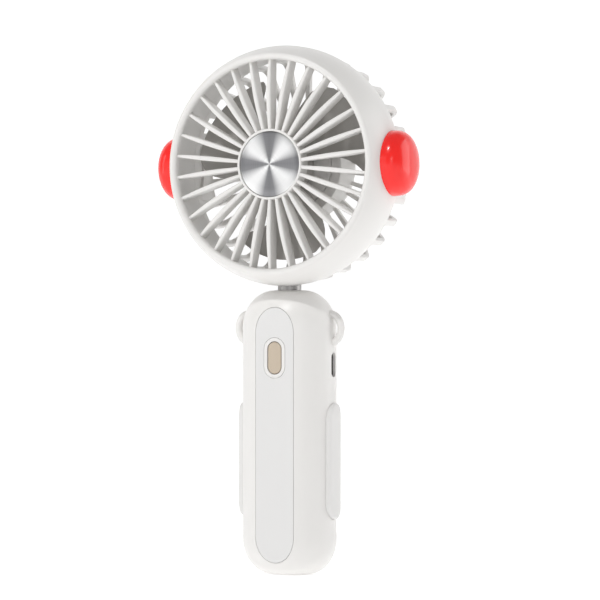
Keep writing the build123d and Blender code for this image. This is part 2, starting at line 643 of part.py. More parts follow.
# ---------------------------------------------------------------- write the nodes
def main():
    body = outer_pill() - front_cut(FRONT_FLAT)
    cavity = inner_pill() - front_cut(FRONT_WALL_IN)
    nodes = {
        "handle_shell": make_handle_shell(body, cavity),
        "front_panel": make_front_panel(body),
        "button_bezel": make_button_bezel(),
        "power_button": make_power_button(),
        "rear_cover": make_rear_cover(body, cavity),
        "cover_screws": make_cover_screws(),
        "grip_pad_left": grip_pad(-1),
        "grip_pad_right": grip_pad(1),
        "usb_socket": make_usb_socket(),
        "circuit_board": make_circuit_board(),
        "board_chips": make_board_chips(),
        "switch_body": make_switch_body(),
        "switch_plunger": make_switch_plunger(),
        "battery_cell": make_battery_cell(),
        "battery_tabs": make_battery_tabs(),
        "battery_leads": make_battery_leads(),
        "neck_bush": make_neck_bush(),
        "neck_stem": make_neck_stem(),
        "stop_pin": make_stop_pin(),
        "stem_clip": make_stem_clip(),
        "friction_washer": make_friction_washer(),
        "neck_screws": make_neck_screws(),
        "front_grille": make_front_grille(),
        "hub_disc": make_hub_disc(),
        "ear_cap_left": make_ear_cap(-1),
        "ear_cap_right": make_ear_cap(1),
        "rear_grille": make_rear_grille(),
        "rear_cap": make_rear_cap(),
        "motor_base": make_motor_base(),
        "motor_screws": make_motor_screws(),
        "bearing_front": make_bearing(-7.6),
        "bearing_rear": make_bearing(2.6),
        "stator_core": make_stator_core(),
        "stator_windings": make_stator_windings(),
        "motor_board": make_motor_board(),
        "motor_lead": make_motor_lead(),
        "impeller": make_impeller(),
        "rotor_cup": make_rotor_cup(),
        "magnet_ring": make_magnet_ring(),
        "motor_shaft": make_motor_shaft(),
        "shaft_clip": make_shaft_clip(),
    }
    for node, shape in nodes.items():
        save(shape, node)


main()
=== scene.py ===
import json
from math import asin, atan2, cos, pi, radians, sin, sqrt, tan

import bpy
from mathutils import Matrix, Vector


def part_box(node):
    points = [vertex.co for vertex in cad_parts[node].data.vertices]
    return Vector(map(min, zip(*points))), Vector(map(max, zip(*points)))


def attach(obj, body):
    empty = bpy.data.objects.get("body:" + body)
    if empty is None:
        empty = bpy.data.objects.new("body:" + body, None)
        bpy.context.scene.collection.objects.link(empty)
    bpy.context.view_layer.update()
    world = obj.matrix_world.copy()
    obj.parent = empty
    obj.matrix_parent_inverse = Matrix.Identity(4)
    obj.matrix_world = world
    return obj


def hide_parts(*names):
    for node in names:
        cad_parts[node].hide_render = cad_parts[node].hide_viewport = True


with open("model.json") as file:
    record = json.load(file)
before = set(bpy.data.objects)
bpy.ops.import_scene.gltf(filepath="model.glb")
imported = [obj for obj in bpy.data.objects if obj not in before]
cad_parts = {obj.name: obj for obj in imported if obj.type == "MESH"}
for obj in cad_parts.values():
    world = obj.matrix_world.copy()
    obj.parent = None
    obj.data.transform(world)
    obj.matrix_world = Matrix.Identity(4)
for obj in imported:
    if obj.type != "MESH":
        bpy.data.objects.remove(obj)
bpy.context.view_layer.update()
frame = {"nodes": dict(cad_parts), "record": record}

MM = 0.001
RIBS = 30

# ---------------------------------------------------------------- places, from the frame
DISC_LOW, DISC_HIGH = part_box("hub_disc")
DRUM_LOW, DRUM_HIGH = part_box("front_grille")
CROWN_LOW, CROWN_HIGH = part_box("rear_grille")
HEAD_Z = (DISC_LOW.z + DISC_HIGH.z) / 2 / MM          # height of the fan axis, mm
DRUM_R = (DRUM_HIGH.z - DRUM_LOW.z) / 2 / MM          # widest radius of the drum, mm
RIM_FRONT = DRUM_LOW.y / MM
DISC_R = (DISC_HIGH.z - DISC_LOW.z) / 2 / MM
CROWN_R = (CROWN_HIGH.z - CROWN_LOW.z) / 2 / MM
CROWN_REAR = CROWN_HIGH.y / MM
DRUM_BACK = 3.2          # depth where the drum's wall ends, mm
DRUM_BACK_R = 44.35      # drum's outer radius there
DRUM_LEDGE_R = 42.4      # inner ledge that the crown plugs into
CROWN_BACK = 4.7         # back of the crown's ring and front of the rear hub
HUB_FLOOR = 8.2          # front of the rear hub's floor
REAR_HUB_R = 19.35
WALL_FRONT = 3.6         # front end of the crown's ribs and walls


# ---------------------------------------------------------------- mesh helpers
def add_mesh(name, verts, faces, material, body, slot, replaces=(), sharp=40):
    """One piece from vertices in mm."""
    mesh = bpy.data.meshes.new(name)
    mesh.from_pydata([tuple(c * MM for c in v) for v in verts], [], faces)
    mesh.update()
    mesh.polygons.foreach_set("use_smooth", [True] * len(mesh.polygons))
    mesh.set_sharp_from_angle(angle=radians(sharp))
    piece = bpy.data.objects.new(name, mesh)
    bpy.context.scene.collection.objects.link(piece)
    mesh.materials.append(material)
    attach(piece, body)
    if replaces:
        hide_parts(*replaces)
    return piece


def joined(parts):
    """Several (verts, faces) in one."""
    verts, faces = [], []
    for part_verts, part_faces in parts:
        start = len(verts)
        verts += part_verts
        faces += [tuple(i + start for i in face) for face in part_faces]
    return verts, faces


def arc3(a, b, c, steps):
    """Points on the circle through a, b and c, from a to c."""
    (ax, ay), (bx, by), (cx, cy) = a, b, c
    d = 2 * (ax * (by - cy) + bx * (cy - ay) + cx * (ay - by))
    a2, b2, c2 = ax * ax + ay * ay, bx * bx + by * by, cx * cx + cy * cy
    ux = (a2 * (by - cy) + b2 * (cy - ay) + c2 * (ay - by)) / d
    uy = (a2 * (cx - bx) + b2 * (ax - cx) + c2 * (bx - ax)) / d
    start, mid, end = (atan2(y - uy, x - ux) for x, y in (a, b, c))
    sweep, part = (end - start) % (2 * pi), (mid - start) % (2 * pi)
    if part > sweep:
        sweep -= 2 * pi
    radius = sqrt((ax - ux) ** 2 + (ay - uy) ** 2)
    angles = [start + sweep * i / steps for i in range(steps + 1)]
    return [(ux + radius * cos(t), uy + radius * sin(t)) for t in angles]


def rounded(points, steps=5):
    """Closed outline from (x, y, corner radius) corners, each corner an arc."""
    out = []
    for i, (x, y, radius) in enumerate(points):
        if radius <= 0:
            out.append((x, y))
            continue
        corner = Vector((x, y))
        before = (Vector(points[i - 1][:2]) - corner).normalized()
        after = (Vector(points[(i + 1) % len(points)][:2]) - corner).normalized()
        half = before.angle(after) / 2
        reach = radius / tan(half)
        centre = corner + (before + after).normalized() * (radius / sin(half))
        a, b = corner + before * reach - centre, corner + after * reach - centre
        turn = a.angle_signed(b)
        for k in range(steps + 1):
            t = -turn * k / steps
            out.append((centre.x + a.x * cos(t) - a.y * sin(t), centre.y + a.x * sin(t) + a.y * cos(t)))
    return out


def grid_faces(rows, columns, close_rows, close_columns):
    faces = []
    for i in range(rows if close_rows else rows - 1):
        for j in range(columns if close_columns else columns - 1):
            a, b = i * columns + j, i * columns + (j + 1) % columns
            k = ((i + 1) % rows) * columns
            faces.append((a, b, k + (j + 1) % columns, k + j))
    return faces


def lathe(profile, steps=180):
    """Closed (radius, y) outline turned about the fan axis. Radii are above zero."""
    verts = []
    for i in range(steps):
        t = 2 * pi * i / steps
        verts += [(r * sin(t), y, HEAD_Z + r * cos(t)) for r, y in profile]
    return verts, grid_faces(steps, len(profile), True, True)


def disc_lathe(profile, steps=180):
    """Open (radius, y) outline that starts and ends on the axis."""
    inner = profile[1:-1]
    verts = lathe(inner, steps)[0]
    count = len(inner)
    faces = grid_faces(steps, count, True, False)
    tips = [(0.0, profile[0][1], HEAD_Z), (0.0, profile[-1][1], HEAD_Z)]
    first = len(verts)
    verts += tips
    for i in range(steps):
        j = (i + 1) % steps
        faces.append((i * count, j * count, first))
        faces.append((j * count + count - 1, i * count + count - 1, first + 1))
    return verts, faces


def loft(sections):
    """Skin over equal rings of points, both ends closed."""
    count = len(sections[0])
    verts = [p for ring in sections for p in ring]
    faces = grid_faces(len(sections), count, False, True)
    faces.append(tuple(range(count)))
    last = (len(sections) - 1) * count
    faces.append(tuple(last + i for i in reversed(range(count))))
    return verts, faces


def slab(one_side, other_side, rows, columns):
    """Closed sheet between two equal grids of points."""
    count = rows * columns
    sheet = grid_faces(rows, columns, False, False)
    faces = sheet + [tuple(count + i for i in reversed(face)) for face in sheet]
    rim = [i * columns for i in range(rows)]
    rim += [(rows - 1) * columns + j for j in range(1, columns)]
    rim += [i * columns + columns - 1 for i in reversed(range(rows - 1))]
    rim += list(reversed(range(1, columns - 1)))
    for a, b in zip(rim, rim[1:] + rim[:1]):
        faces.append((b, a, count + a, count + b))
    return one_side + other_side, faces


def about_axis(part, angle):
    """Turn a part about the fan axis, clockwise as seen from the front."""
    verts, faces = part
    c, s = cos(angle), sin(angle)
    turned = [(x * c + (z - HEAD_Z) * s, y, HEAD_Z + (z - HEAD_Z) * c - x * s) for x, y, z in verts]
    return turned, faces


def ring_of_points(width, height, corner, steps=4):
    """Rounded rectangle, centred on zero, as (x, y) points."""
    w, h = width / 2, height / 2
    return rounded([(-w, -h, corner), (w, -h, corner), (w, h, corner), (-w, h, corner)], steps)


# ---------------------------------------------------------------- materials
def principled(name, colour, roughness, **values):
    material = bpy.data.materials.new(name)
    material.use_nodes = True
    nodes, links = material.node_tree.nodes, material.node_tree.links
    shader = nodes["Principled BSDF"]
    shader.inputs["Base Color"].default_value = (*colour, 1)
    shader.inputs["Roughness"].default_value = roughness
    for key, value in values.items():
        shader.inputs[key.replace("_", " ")].default_value = value
    return material, nodes, links, shader


def texture_coordinates(nodes):
    return nodes.new("ShaderNodeTexCoord").outputs["Object"]


def noise(nodes, links, coordinates, scale, detail=3.0):
    texture = nodes.new("ShaderNodeTexNoise")
    texture.inputs["Scale"].default_value = scale
    texture.inputs["Detail"].default_value = detail
    links.new(coordinates, texture.inputs["Vector"])
    return texture.outputs["Fac"]


def remap(nodes, links, value, low, high, from_low=0.3, from_high=0.7):
    node = nodes.new("ShaderNodeMapRange")
    node.inputs["From Min"].default_value = from_low
    node.inputs["From Max"].default_value = from_high
    node.inputs["To Min"].default_value = low
    node.inputs["To Max"].default_value = high
    links.new(value, node.inputs["Value"])
    return node.outputs["Result"]


def tint(nodes, links, factor, dark, light):
    node = nodes.new("ShaderNodeMix")
    node.data_type = "RGBA"
    links.new(factor, node.inputs["Factor"])
    node.inputs["A"].default_value = (*dark, 1)
    node.inputs["B"].default_value = (*light, 1)
    return node.outputs["Result"]


def bump(nodes, links, shader, height, distance, strength=1.0, onto=None):
    node = nodes.new("ShaderNodeBump")
    node.inputs["Distance"].default_value = distance
    node.inputs["Strength"].default_value = strength
    links.new(height, node.inputs["Height"])
    if onto is not None:
        links.new(onto, node.inputs["Normal"])
    links.new(node.outputs["Normal"], shader.inputs["Normal"])
    return node.outputs["Normal"]


def moulded_plastic(name, colour, roughness, grain=0.000012, spread=0.03, **values):
    """Moulded plastic: faint cloudy tone, fine spark-eroded grain and a slow waviness from shrinkage."""
    material, nodes, links, shader = principled(name, colour, roughness, **values)
    place = texture_coordinates(nodes)
    cloud = noise(nodes, links, place, 70.0, 4.0)
    dark = tuple(c * (1 - spread) for c in colour)
    links.new(tint(nodes, links, cloud, dark, colour), shader.inputs["Base Color"])
    patches = noise(nodes, links, place, 420.0, 5.0)
    links.new(remap(nodes, links, patches, roughness - 0.05, roughness + 0.07), shader.inputs["Roughness"])
    wave = bump(nodes, links, shader, noise(nodes, links, place, 38.0, 1.0), 0.00012, 0.25)
    bump(nodes, links, shader, noise(nodes, links, place, 5200.0, 2.0), grain, 0.6, wave)
    return material


def spun_metal_painted_sectors(name, colour):
    """Spun metal: fine rings about the fan axis, and bright and dark sectors by angle painted into the base
    colour as painted highlights and painted shade.
    """
    material, nodes, links, shader = principled(name, colour, 0.3, Metallic=1.0, Anisotropic=0.75)
    place = texture_coordinates(nodes)
    shift = nodes.new("ShaderNodeVectorMath")
    shift.operation = "SUBTRACT"
    shift.inputs[1].default_value = (0, 0, HEAD_Z * MM)
    links.new(place, shift.inputs[0])
    split = nodes.new("ShaderNodeSeparateXYZ")
    links.new(shift.outputs[0], split.inputs[0])
    # Painted highlight and painted shade: bright and dark sectors by angle about the axis, painted into the
    # base colour.
    angle = math_node(nodes, links, "ARCTAN2", split.outputs["X"], split.outputs["Z"])
    painted_highlight_lobes = math_node(nodes, links, "SINE", math_node(nodes, links, "MULTIPLY", angle, 2.0))
    strength = math_node(nodes, links, "ABSOLUTE", painted_highlight_lobes)
    painted_sector_ramp = nodes.new("ShaderNodeValToRGB")
    painted_sector_ramp.color_ramp.elements[0].color = (0.24, 0.24, 0.25, 1)
    painted_sector_ramp.color_ramp.elements[1].color = (0.88, 0.88, 0.88, 1)
    painted_sector_ramp.color_ramp.elements[1].position = 0.97
    middle = painted_sector_ramp.color_ramp.elements.new(0.4)
    middle.color = (0.27, 0.27, 0.28, 1)
    links.new(strength, painted_sector_ramp.inputs["Fac"])
    radius = nodes.new("ShaderNodeVectorMath")
    radius.operation = "LENGTH"
    links.new(shift.outputs[0], radius.inputs[0])
    rings = nodes.new("ShaderNodeTexNoise")
    rings.noise_dimensions = "1D"
    rings.inputs["Scale"].default_value = 9000.0
    rings.inputs["Detail"].default_value = 4.0
    links.new(radius.outputs["Value"], rings.inputs["W"])
    shade = remap(nodes, links, rings.outputs["Fac"], 0.93, 1.05)
    rings_and_painted_sectors = nodes.new("ShaderNodeVectorMath")
    rings_and_painted_sectors.operation = "SCALE"
    links.new(painted_sector_ramp.outputs["Color"], rings_and_painted_sectors.inputs[0])
    links.new(shade, rings_and_painted_sectors.inputs["Scale"])
    links.new(rings_and_painted_sectors.outputs[0], shader.inputs["Base Color"])
    tangent = nodes.new("ShaderNodeTangent")
    tangent.direction_type = "RADIAL"
    tangent.axis = "Y"
    links.new(tangent.outputs["Tangent"], shader.inputs["Tangent"])
    bump(nodes, links, shader, rings.outputs["Fac"], 0.000004, 0.5)
    return material


def math_node(nodes, links, operation, *values):
    node = nodes.new("ShaderNodeMath")
    node.operation = operation
    for socket, value in zip(node.inputs, values):
        if isinstance(value, (int, float)):
            socket.default_value = value
        else:
            links.new(value, socket)
    return node.outputs[0]


def plain_metal(name, colour, roughness, scale=2500.0):
    """Turned or stamped metal with faint scratches and uneven polish."""
    material, nodes, links, shader = principled(name, colour, roughness, Metallic=1.0)
    place = texture_coordinates(nodes)
    cloud = noise(nodes, links, place, 600.0, 4.0)
    dark = tuple(c * 0.8 for c in colour)
    links.new(tint(nodes, links, cloud, dark, colour), shader.inputs["Base Color"])
    links.new(remap(nodes, links, cloud, roughness - 0.06, roughness + 0.1), shader.inputs["Roughness"])
    bump(nodes, links, shader, noise(nodes, links, place, scale, 3.0), 0.000006, 0.5)
    return material


def board_mask(name):
    """Green solder mask with a faint lighter grid of tracks."""
    material, nodes, links, shader = principled(name, (0.02, 0.16, 0.06), 0.35)
    place = texture_coordinates(nodes)
    cells = nodes.new("ShaderNodeTexBrick")
    cells.inputs["Scale"].default_value = 420.0
    cells.inputs["Color1"].default_value = (0.02, 0.15, 0.06, 1)
    cells.inputs["Color2"].default_value = (0.02, 0.12, 0.05, 1)
    cells.inputs["Mortar"].default_value = (0.06, 0.28, 0.12, 1)
    links.new(place, cells.inputs["Vector"])
    links.new(cells.outputs["Color"], shader.inputs["Base Color"])
    bump(nodes, links, shader, cells.outputs["Fac"], 0.00002, 0.5)
    return material


M = {
    "shell_white": moulded_plastic("shell_white", (0.80, 0.787, 0.768), 0.34),
    "panel_white": moulded_plastic("panel_white", (0.745, 0.74, 0.733), 0.5, grain=0.00002),
    "pad_white": moulded_plastic("pad_white", (0.76, 0.752, 0.74), 0.48, grain=0.00002),
    # Impeller colour darkened from white to light grey: painted shade for the blades inside the drum.
    "impeller_white": moulded_plastic("impeller_white", (0.42, 0.405, 0.385), 0.38),
    "button_champagne": moulded_plastic("button_champagne", (0.56, 0.47, 0.365), 0.36, spread=0.06),
    "ear_red": moulded_plastic("ear_red", (0.98, 0.022, 0.018), 0.2, grain=0.000004, spread=0.05,
                               Specular_IOR_Level=0.3, Coat_Weight=0.3, Coat_Roughness=0.12),
    "neck_grey": plain_metal("neck_grey", (0.40, 0.39, 0.385), 0.38),
    "hub_metal": spun_metal_painted_sectors("hub_metal", (0.7, 0.7, 0.7)),
    "screw_steel": plain_metal("screw_steel", (0.52, 0.52, 0.53), 0.32),
    "bearing_steel": plain_metal("bearing_steel", (0.62, 0.62, 0.63), 0.24),
    "core_steel": plain_metal("core_steel", (0.28, 0.28, 0.29), 0.5),
    "winding_copper": plain_metal("winding_copper", (0.62, 0.27, 0.11), 0.35, 4500.0),
    "nickel": plain_metal("nickel", (0.66, 0.65, 0.62), 0.3),
    "socket_metal": plain_metal("socket_metal", (0.10, 0.10, 0.105), 0.4),
    "board_green": board_mask("board_green"),
    "chip_black": moulded_plastic("chip_black", (0.02, 0.02, 0.021), 0.5, spread=0.2),
    "cell_wrap": moulded_plastic("cell_wrap", (0.06, 0.17, 0.42), 0.25, spread=0.1),
    "lead_rubber": moulded_plastic("lead_rubber", (0.70, 0.69, 0.675), 0.5, spread=0.06),
    "acetal": moulded_plastic("acetal", (0.80, 0.80, 0.78), 0.4),
}


def dress_cad_nodes():
    """Give every CAD node its slot's material."""
    slots = {entry["node"]: entry["material_slot"] for entry in frame["record"]["subparts"]}
    for node, piece in frame["nodes"].items():
        piece.data.materials.clear()
        piece.data.materials.append(M[slots[node]])


# ---------------------------------------------------------------- head, front
def drum_part():
    """Drum wall: rounded front rim, bulging outside, thin wall."""
    front = RIM_FRONT
    outline = arc3((39.1, front + 1.1), (40.75, front), (41.9, front + 1.0), 10)
    outline += arc3((41.9, front + 1.0), (DRUM_R, -5.2), (DRUM_BACK_R, DRUM_BACK - 0.4), 28)[1:]
    outline += [(44.2, 3.1), (43.9, DRUM_BACK), (DRUM_LEDGE_R, DRUM_BACK), (DRUM_LEDGE_R, 0.8), (41.45, 0.8)]
    outline += arc3((41.3, 0.65), (41.5, -6.0), (40.9, -14.2), 12)
    outline += [(39.25, -15.9), (39.1, -16.2)]
    return lathe(outline, 240)


def rib_width(s):
    """Full width of a front rib at s from hub (0) to rim (1): a long lens."""
    root, belly, taper = 1.24, 0.70, 0.24
    return root + belly * sin(pi * min(1.0, s * 1.03)) ** 0.9 - taper * s


def front_rib():
    """Rib from the hub ring to the rim, deepest in its middle and thinner towards its back."""
    hub_r, rim_r, steps, sections = 12.6, 40.7, 26, []
    for i in range(steps + 1):
        s = i / steps
        bulge = sin(pi * s)
        y_front = -17.75 - 1.35 * bulge + 0.55 * s
        y_back = -12.1 - 0.75 * bulge + 0.5 * s
        width, height = rib_width(s), y_back - y_front
        ring = []
        for x, h in ring_of_points(width, height, min(width * 0.42, 0.6)):
            back = (h + height / 2) / height
            y = (y_front + y_back) / 2 + h
            end = rim_r + 1.5 * back
            draft = 1 - 0.22 * back
            ring.append((x * draft, y, HEAD_Z + hub_r + (end - hub_r) * s))
        sections.append(ring)
    return loft(sections)


def hub_ring():
    """Ring that the front ribs meet in, with the seat of the metal disc."""
    outer, inner, seat = 13.25, 12.2, DISC_R + 0.12
    front, floor, back = -18.1, -16.7, -12.0
    outline = rounded([(seat, front, 0.3), (outer, front, 0.4), (outer, back, 0.3),
                       (inner, back, 0.3), (inner, floor, 0.05), (seat, floor, 0.05)])
    return lathe(outline)


def hub_back():
    """Back wall of the hub, behind the disc."""
    front, back, edge = -16.68, -15.3, 12.3
    return disc_lathe([(0, front), (6, front), (edge, front), (edge, back - 0.1), (6, back), (0, back)])


def drum_radius(y):
    """Outer radius of the drum, and of its bosses over the crown, at depth y."""
    centre_y, radius = -4.62, 29.6
    if y < DRUM_BACK:
        return DRUM_R - radius + sqrt(radius ** 2 - (y - centre_y) ** 2)
    taper = 0.03
    return DRUM_BACK_R - (y - DRUM_BACK) * taper


EAR_LOW, EAR_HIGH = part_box("ear_cap_right")
EAR_Y = (EAR_LOW.y + EAR_HIGH.y) / 2 / MM
EAR_R = (EAR_HIGH.z - EAR_LOW.z) / 2 / MM
EAR_TIP = EAR_HIGH.x / MM
EAR_BASE = 44.82         # where the dome starts, from the fan axis
EAR_SEAT = 43.02         # back of the ear's skirt
EAR_FLOOR = 42.95        # wall behind the ear
EAR_WALL = 0.6
EAR_BOSS = 13.0          # radius of the thickened drum wall


def ear_boss(side):
    """Raised ring of the drum wall round an ear, and the thin wall behind it."""
    steps, verts = 120, []
    bore, depth, proud = EAR_R + 0.08, 2.6, 0.04
    outline = [(bore, depth), (bore, 0.25), (EAR_R + 0.3, 0.06), (EAR_BOSS - 0.3, 0.0),
               (EAR_BOSS, 0.22), (EAR_BOSS, depth)]
    for i in range(steps):
        t = 2 * pi * i / steps
        for radius, drop in outline:
            y, z = EAR_Y + radius * cos(t), radius * sin(t)
            x = sqrt(max(0.0, drum_radius(y) ** 2 - z * z)) + proud - drop
            verts.append((side * x, y, HEAD_Z + z))
    faces = grid_faces(steps, len(outline), True, True)
    floor = len(verts)
    for i in range(steps):
        t = 2 * pi * i / steps
        y, z = EAR_Y + EAR_BOSS * cos(t), EAR_BOSS * sin(t)
        edge = min(EAR_FLOOR, sqrt(drum_radius(y) ** 2 - z * z) - 0.5)
        verts += [(side * (edge - EAR_WALL), y, HEAD_Z + z), (side * edge, y, HEAD_Z + z)]
    inner, outer = len(verts), len(verts) + 1
    verts += [(side * (EAR_FLOOR - EAR_WALL), EAR_Y, HEAD_Z), (side * EAR_FLOOR, EAR_Y, HEAD_Z)]
    for i in range(steps):
        a, b = floor + 2 * i, floor + 2 * ((i + 1) % steps)
        faces += [(a, b, b + 1, a + 1), (a, inner, b), (a + 1, b + 1, outer)]
    return verts, faces


def neck_boss():
    """Thick round pad at the bottom of the drum that the stem is screwed to."""
    steps, verts = 96, []
    bore, radius = 4.55, 9.4
    flange_thickness, bottom, chamfer = 1.5, 110.4, 0.5
    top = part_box("neck_stem")[1].z / MM - flange_thickness
    outline = [(bore, top), (radius, top), (radius, bottom + chamfer)]
    outline += [(radius - chamfer, bottom), (bore, bottom)]
    for i in range(steps):
        t = 2 * pi * i / steps
        verts += [(r * cos(t), r * sin(t), z) for r, z in outline]
    return verts, grid_faces(steps, len(outline), True, True)


def make_front_grille():
    parts = [drum_part(), hub_ring(), hub_back(), neck_boss()]
    rib = front_rib()
    parts += [about_axis(rib, 2 * pi * i / RIBS) for i in range(RIBS)]
    parts += [ear_boss(side) for side in (-1, 1)]
    add_mesh("front_grille_skin", *joined(parts), M["shell_white"], "head", "shell_white", ["front_grille"])


def make_hub_disc():
    """Thin round metal disc with a rounded edge."""
    edge, front = DISC_R, DISC_LOW.y / MM
    back = front + 0.97
    outline = [(r, front) for r in (0, 0.4, 3, 6, 9, edge - 0.4)]
    outline += [(edge - 0.1, front + 0.1), (edge, front + 0.3), (edge, front + 0.9)]
    outline += [(r, back) for r in (edge - 0.1, 6, 0)]
    verts, faces = disc_lathe(outline, 240)
    add_mesh("hub_disc_skin", verts, faces, M["hub_metal"], "head", "hub_metal", ["hub_disc"], 30)


def make_ear(side, name):
    """Glossy dome: skirt let into the drum, then a flattened round cap."""
    squareness = 2.5         # 2 would be a plain ellipse
    height, power = EAR_TIP - EAR_BASE, 2 / squareness
    outline = [(EAR_R - 0.4, EAR_SEAT), (EAR_R, EAR_SEAT + 0.28), (EAR_R, EAR_BASE)]
    for i in range(1, 33):
        t = pi / 2 * i / 32
        outline.append((EAR_R * max(0.0, cos(t)) ** power, EAR_BASE + height * sin(t) ** power))
    steps, verts = 128, []
    inner = outline[:-1]
    for i in range(steps):
        t = 2 * pi * i / steps
        verts += [(side * x, EAR_Y + r * sin(t), HEAD_Z + r * cos(t)) for r, x in inner]
    count = len(inner)
    faces = grid_faces(steps, count, True, False)
    tip, back = len(verts), len(verts) + 1
    verts += [(side * EAR_TIP, EAR_Y, HEAD_Z), (side * EAR_SEAT, EAR_Y, HEAD_Z)]
    for i in range(steps):
        j = (i + 1) % steps
        faces.append((i * count + count - 1, j * count + count - 1, tip))
        faces.append((j * count, i * count, back))
    if side < 0:
        faces = [tuple(reversed(f)) for f in faces]
    add_mesh(name + "_skin", verts, faces, M["ear_red"], "head", "ear_red", [name], 50)


# ---------------------------------------------------------------- head, back
def crown_path():
    """Middle line and thickness of a rear rib: back from the drum, round the corner, in to the hub."""
    side, rear = CROWN_R - 1.05, CROWN_REAR - 1.35
    side_thickness, rear_thickness, turn_in = 2.1, 2.7, 4.2
    line = [(side, WALL_FRONT + i * 3.1, side_thickness) for i in range(4)]
    corner = arc3((side, 13.0), (side - 1.25, 16.0), (side - turn_in, rear), 10)
    line += [(r, y, side_thickness + 0.06 * i) for i, (r, y) in enumerate(corner)]
    line += [(side - turn_in - i * 4.05, rear, rear_thickness) for i in range(1, 6)]
    return line


def rear_rib(skip=0):
    """One rib of the crown; skip leaves out its first stations, where a wall takes its place."""
    line = crown_path()[skip:]
    sections = []
    for i, (r, y, thick) in enumerate(line):
        before, after = line[max(0, i - 1)], line[min(len(line) - 1, i + 1)]
        along = Vector((after[0] - before[0], after[1] - before[1])).normalized()
        out = Vector((along.y, -along.x))
        width = 1.6 + 1.1 * (r - 18) / 25
        ring = []
        for x, h in ring_of_points(width, thick, 0.5):
            draft = 1 - 0.12 * (0.5 - h / thick)
            ring.append((x * draft, y + out.y * h, HEAD_Z + r + out.x * h))
        sections.append(ring)
    return loft(sections)


def crown_ring():
    """Front ring of the crown, with the lip that plugs into the drum."""
    outer, inner = CROWN_R, CROWN_R - 2.1
    lip_r, lip_inner, lip_front, front = DRUM_LEDGE_R - 0.2, inner - 0.2, 1.0, DRUM_BACK + 0.2
    outline = rounded([(outer, front, 0.3), (outer, CROWN_BACK, 0.3), (inner, CROWN_BACK, 0.3),
                       (lip_inner, CROWN_BACK - 0.5, 0.1), (lip_inner, lip_front, 0.25),
                       (lip_r, lip_front, 0.25), (lip_r, front, 0.05)])
    return lathe(outline, 240)


def rear_hub():
    """Drum in the middle of the crown: a floor for the motor, a flange in front and the cap's seat behind."""
    outer, inner, rear, front = REAR_HUB_R, REAR_HUB_R - 1.85, CROWN_REAR, CROWN_BACK
    floor_back, bore, flange_r, flange_back = HUB_FLOOR + 1.6, 3.7, 15.4, CROWN_BACK + 1.5
    outline = rounded([(outer, front, 0.4), (outer, rear, 0.5), (inner, rear, 0.25), (inner, floor_back, 0.3),
                       (bore, floor_back, 0.2), (bore, HUB_FLOOR, 0.2), (inner, HUB_FLOOR, 0.3),
                       (inner, flange_back, 0.2), (flange_r, flange_back, 0.3), (flange_r, front, 0.3)])
    return lathe(outline)


def curved_wall(centre, half_width, front_edge):
    """Piece of the crown's outside wall about one direction, from a curved front edge back to the corner."""
    rows, columns = 25, 9
    wall_back, corner_front = 15.3, 13.4
    half = asin(half_width / CROWN_R)
    shells = []
    for radius in (CROWN_R - 0.02, CROWN_R - 2.08):
        layer = []
        for i in range(rows):
            t = -half + 2 * half * i / (rows - 1)
            start = front_edge(CROWN_R * sin(t))
            for j in range(columns):
                y = start + (wall_back - start) * j / (columns - 1)
                bend = max(0.0, y - corner_front)
                r = radius - 0.35 * bend ** 1.5
                layer.append((r * sin(centre + t), y, HEAD_Z + r * cos(centre + t)))
        shells.append(layer)
    return slab(shells[0], shells[1], rows, columns)


def round_notch(centre, radius):
    """Front edge of a wall that goes round a boss: depth of the edge at sideways distance d."""
    def edge(d):
        inside = radius ** 2 - d * d
        return max(WALL_FRONT, centre + sqrt(inside)) if inside > 0 else WALL_FRONT
    return edge


def make_rear_grille():
    parts = [crown_ring(), rear_hub()]
    whole, short = rear_rib(), rear_rib(4)
    ear_reach, neck_reach = 14, 11           # degrees to each side, where walls replace the ribs' side parts
    for i in range(RIBS):
        angle = 360 / RIBS * i
        over_ear = min(abs(angle - 90), abs(angle - 270)) < ear_reach
        over_neck = abs(angle - 180) < neck_reach
        parts.append(about_axis(short if over_ear or over_neck else whole, radians(angle)))
    ear_wall, neck_wall, neck_notch = 12.4, 11.6, 9.6
    for centre in (pi / 2, -pi / 2):
        parts.append(curved_wall(centre, ear_wall, round_notch(EAR_Y, EAR_BOSS + 0.15)))
    parts.append(curved_wall(pi, neck_wall, round_notch(0.0, neck_notch)))
    add_mesh("rear_grille_skin", *joined(parts), M["shell_white"], "head", "shell_white", ["rear_grille"])


def make_rear_cap():
    """Shallow cap with a fine groove and a snap skirt."""
    low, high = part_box("rear_cap")
    edge, rear = (high.z - low.z) / 2 / MM, high.y / MM
    face = [(0, 0), (4, 0), (8, 0.02), (11.6, 0.06)]
    groove = [(12.0, 0.12), (12.15, 0.35), (12.45, 0.35), (12.6, 0.12), (13.0, 0.08), (16.0, 0.16)]
    corner = [(edge - 0.4, 0.25), (edge - 0.1, 0.42), (edge, 0.75)]
    skirt = [(edge, 3.2), (edge - 1.0, 3.4), (edge - 1.1, 1.8), (8, 1.7), (0, 1.7)]
    outline = [(r, rear - depth) for r, depth in face + groove + corner + skirt]
    outline.reverse()
    add_mesh("rear_cap_skin", *disc_lathe(outline), M["shell_white"], "head", "shell_white", ["rear_cap"], 35)


# ---------------------------------------------------------------- impeller
def blade_middle(u, v):
    """Middle surface of a blade: u from root to tip, v from the front edge to the back edge."""
    root, tip = 8.05, 35.5
    front_y, depth, arch = -6.3, 9.6, 0.10
    r = root + (tip - root) * u
    corner = 9 * max(0.0, (u - 0.72) / 0.28) ** 3
    front_angle = 62 + 21 * (1 - u) - corner
    rear_angle = 15 - 33 * u ** 2 + corner
    angle = radians(front_angle + (rear_angle - front_angle) * v)
    y = front_y + depth * (v - arch * sin(pi * v))
    return Vector((r * cos(angle), y, HEAD_Z + r * sin(angle)))


